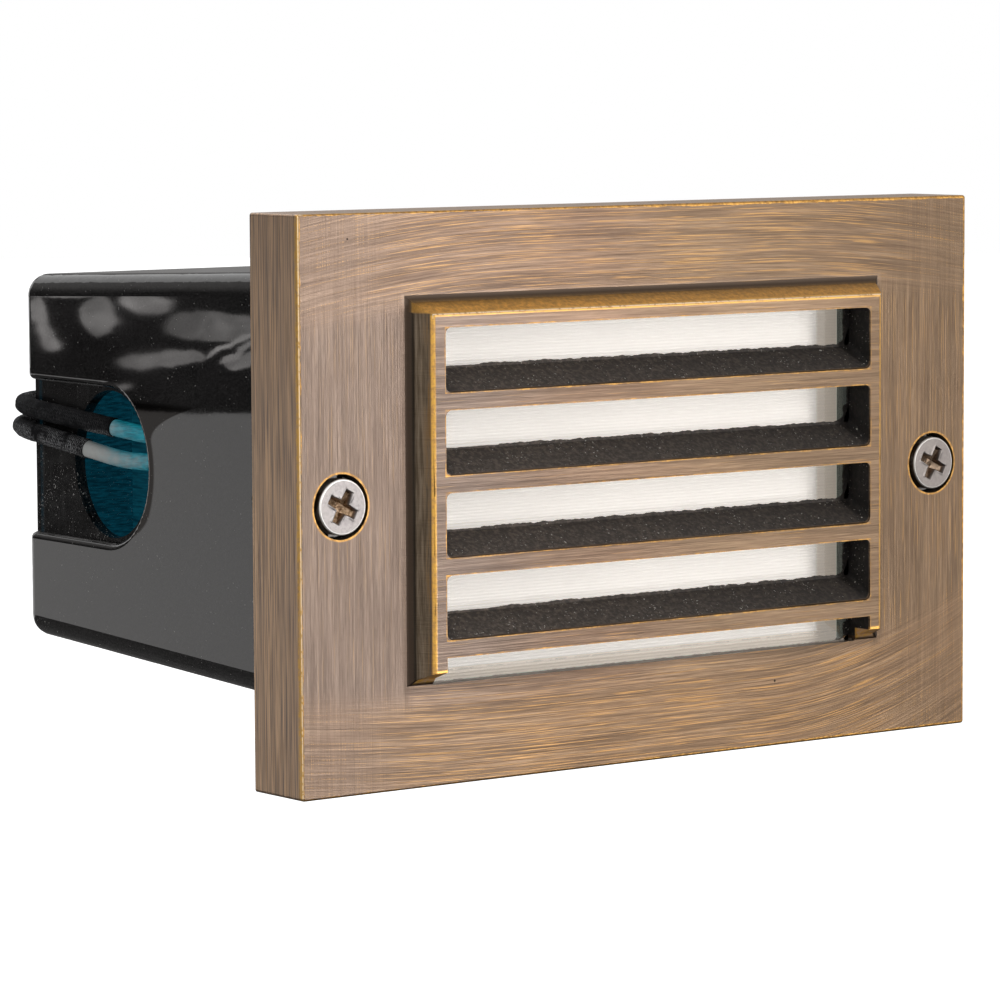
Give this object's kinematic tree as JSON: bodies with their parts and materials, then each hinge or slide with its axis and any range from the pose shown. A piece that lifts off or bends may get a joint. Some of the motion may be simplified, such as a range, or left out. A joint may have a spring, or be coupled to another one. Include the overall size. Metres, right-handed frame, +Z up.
{
  "type": "louvred step light",
  "caption": "Recessed step light: brushed antique brass faceplate with a hooded louvre grille over a lens, screws, a black moulded wall housing and wiring leads.",
  "frame": {"origin": "middle of the plane in which the faceplate's rim meets the wall", "axes": "+X to the right as the viewer faces the wall, +Y into the wall, +Z up"},
  "size_m": [0.1142, 0.1093, 0.075],
  "materials": {
    "brass_face": "brushed, dark antique bronze patina, worn golden edges",
    "clear_glass": "clear float glass, greenish edges",
    "white_sheet": "white, fine level ribs",
    "sealant": "matt black silicone",
    "gasket_foam": "closed-cell foam",
    "black_housing": "moulded gloss black",
    "brass_insert": "turned, knurled",
    "nickel_steel": "nickel plated",
    "teal_film": "aluminium tray under a teal film outside",
    "holder_plastic": "moulded, heat resistant",
    "spring_steel": "bare spring steel",
    "contact_brass": "stamped strip",
    "lamp_glass": "clear",
    "lamp_wire": "drawn wire",
    "white_wire": "white insulation",
    "black_sleeve": "black sleeving",
    "tinned_copper": "stripped, tinned strands",
    "nylon_tie": "black nylon"
  },
  "bodies": {
    "housing": {"housing": "black_housing", "insert_left": "brass_insert", "insert_right": "brass_insert", "reflector": "teal_film", "reflector_screws": "nickel_steel", "lampholder": "holder_plastic", "holder_clip": "spring_steel", "holder_contacts": "contact_brass", "wire_upper": "white_wire", "wire_lower": "white_wire", "lead_upper": "black_sleeve", "lead_lower": "black_sleeve", "coil_upper": "black_sleeve", "coil_lower": "black_sleeve", "lead_tips": "tinned_copper", "coil_tie": "nylon_tie"},
    "faceplate": {"faceplate": "brass_face", "lens_pane": "clear_glass", "diffuser_sheet": "white_sheet", "lens_sealant": "sealant", "plate_gasket": "gasket_foam"},
    "washer_left": {"washer_left": "nickel_steel"},
    "washer_right": {"washer_right": "nickel_steel"},
    "screw_left": {"screw_left": "nickel_steel"},
    "screw_right": {"screw_right": "nickel_steel"},
    "lamp": {"lamp_envelope": "lamp_glass", "lamp_filament": "lamp_wire"}
  },
  "joints": [
    {"name": "faceplate_off", "type": "slide", "parent": "housing", "child": "faceplate", "axis": [0, -1, 0], "range_m": [0, 0.06]},
    {"name": "lamp_out", "type": "slide", "parent": "housing", "child": "lamp", "axis": [1, 0, 0], "range_m": [0, 0.01]},
    {"name": "screw_left_travel", "type": "slide", "parent": "faceplate", "child": "washer_left", "axis": [0, -1, 0], "range_m": [0, 0.008]},
    {"name": "screw_left_turn", "type": "hinge", "parent": "washer_left", "child": "screw_left", "pos_m": [-0.0508, -0.009, 0], "axis": [0, -1, 0], "range_deg": [0, 4114.5]},
    {"name": "screw_right_travel", "type": "slide", "parent": "faceplate", "child": "washer_right", "axis": [0, -1, 0], "range_m": [0, 0.008]},
    {"name": "screw_right_turn", "type": "hinge", "parent": "washer_right", "child": "screw_right", "pos_m": [0.0508, -0.009, 0], "axis": [0, -1, 0], "range_deg": [0, 4114.5]}
  ],
  "couplings": [
    {"joint": "screw_left_turn", "follows": "screw_left_travel", "rad_per_m": 8976},
    {"joint": "screw_right_turn", "follows": "screw_right_travel", "rad_per_m": 8976}
  ]
}
